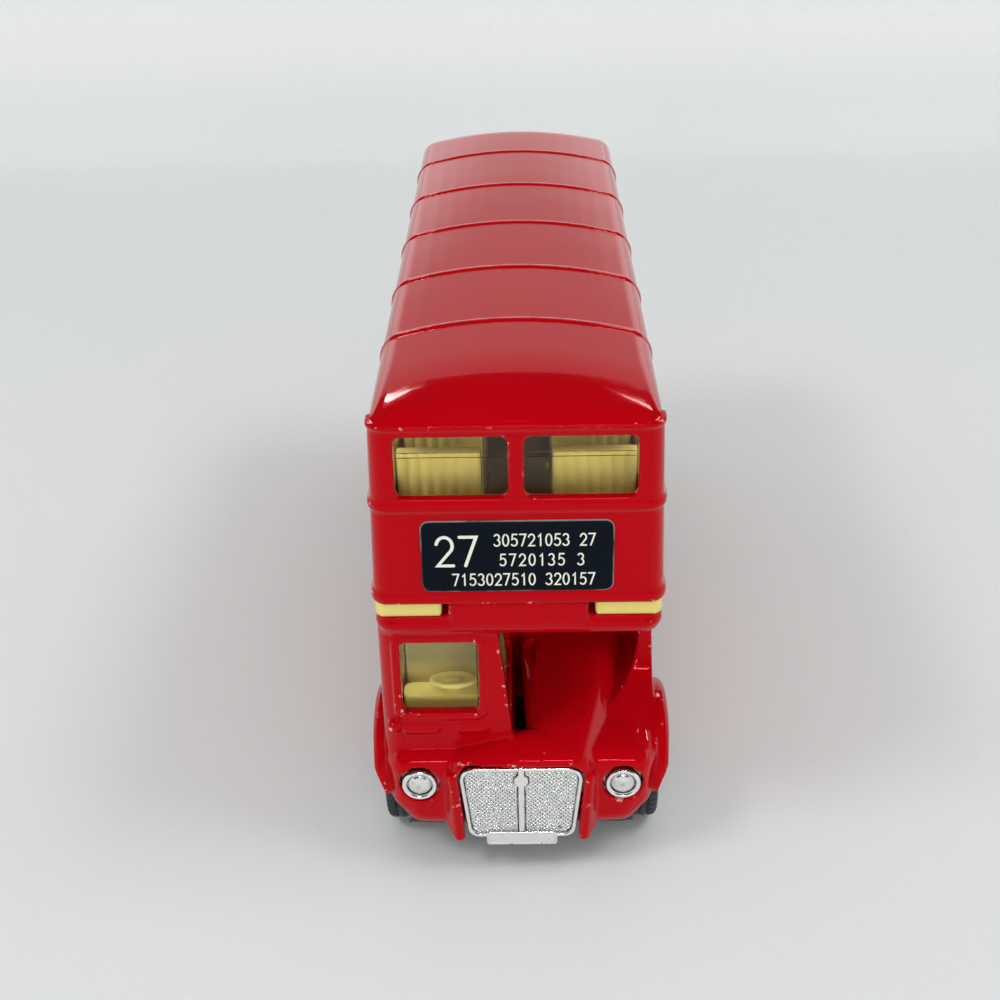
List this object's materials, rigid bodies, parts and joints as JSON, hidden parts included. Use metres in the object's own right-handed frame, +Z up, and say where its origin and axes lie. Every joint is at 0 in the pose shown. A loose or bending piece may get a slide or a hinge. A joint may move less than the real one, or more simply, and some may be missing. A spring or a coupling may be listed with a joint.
{
  "type": "toy bus",
  "caption": "Die-cast half-cab double-decker toy bus with open rear platform, glazed windows, seat mouldings, plated grille and free-rolling wheels",
  "frame": {"origin": "On the floor under the middle of the bus", "axes": "+Z up, the front faces -Y, the driver's side is -X, the platform side is +X"},
  "size_m": [0.0392, 0.125, 0.0672],
  "materials": {
    "red_enamel": "gloss enamel",
    "clear_plastic": "clear",
    "cream_plastic": "satin",
    "label_film": "satin print",
    "plated_plastic": "vacuum plated",
    "base_metal": "satin paint",
    "axle_steel": "drawn wire",
    "tyre_plastic": "satin"
  },
  "bodies": {
    "bus": {"upper_body": "red_enamel", "lower_body": "red_enamel", "upper_glazing": "clear_plastic", "lower_glazing": "clear_plastic", "upper_deck": "cream_plastic", "lower_deck": "cream_plastic", "route_label": "label_film", "radiator_grille": "plated_plastic", "base_plate": "base_metal", "front_axle": "axle_steel", "rear_axle": "axle_steel"},
    "wheel_fl": {"tyre_fl": "tyre_plastic", "hub_fl": "plated_plastic"},
    "wheel_fr": {"tyre_fr": "tyre_plastic", "hub_fr": "plated_plastic"},
    "wheel_rl": {"tyre_rl": "tyre_plastic", "hub_rl": "plated_plastic"},
    "wheel_rr": {"tyre_rr": "tyre_plastic", "hub_rr": "plated_plastic"}
  },
  "joints": [
    {"name": "wheel_fl_spin", "type": "hinge", "parent": "bus", "child": "wheel_fl", "pos_m": [-0.0158, -0.0487, 0.00775], "axis": [1, 0, 0], "continuous": true},
    {"name": "wheel_fr_spin", "type": "hinge", "parent": "bus", "child": "wheel_fr", "pos_m": [0.0158, -0.0487, 0.00775], "axis": [1, 0, 0], "continuous": true},
    {"name": "wheel_rl_spin", "type": "hinge", "parent": "bus", "child": "wheel_rl", "pos_m": [-0.0158, 0.0263, 0.00775], "axis": [1, 0, 0], "continuous": true},
    {"name": "wheel_rr_spin", "type": "hinge", "parent": "bus", "child": "wheel_rr", "pos_m": [0.0158, 0.0263, 0.00775], "axis": [1, 0, 0], "continuous": true}
  ]
}
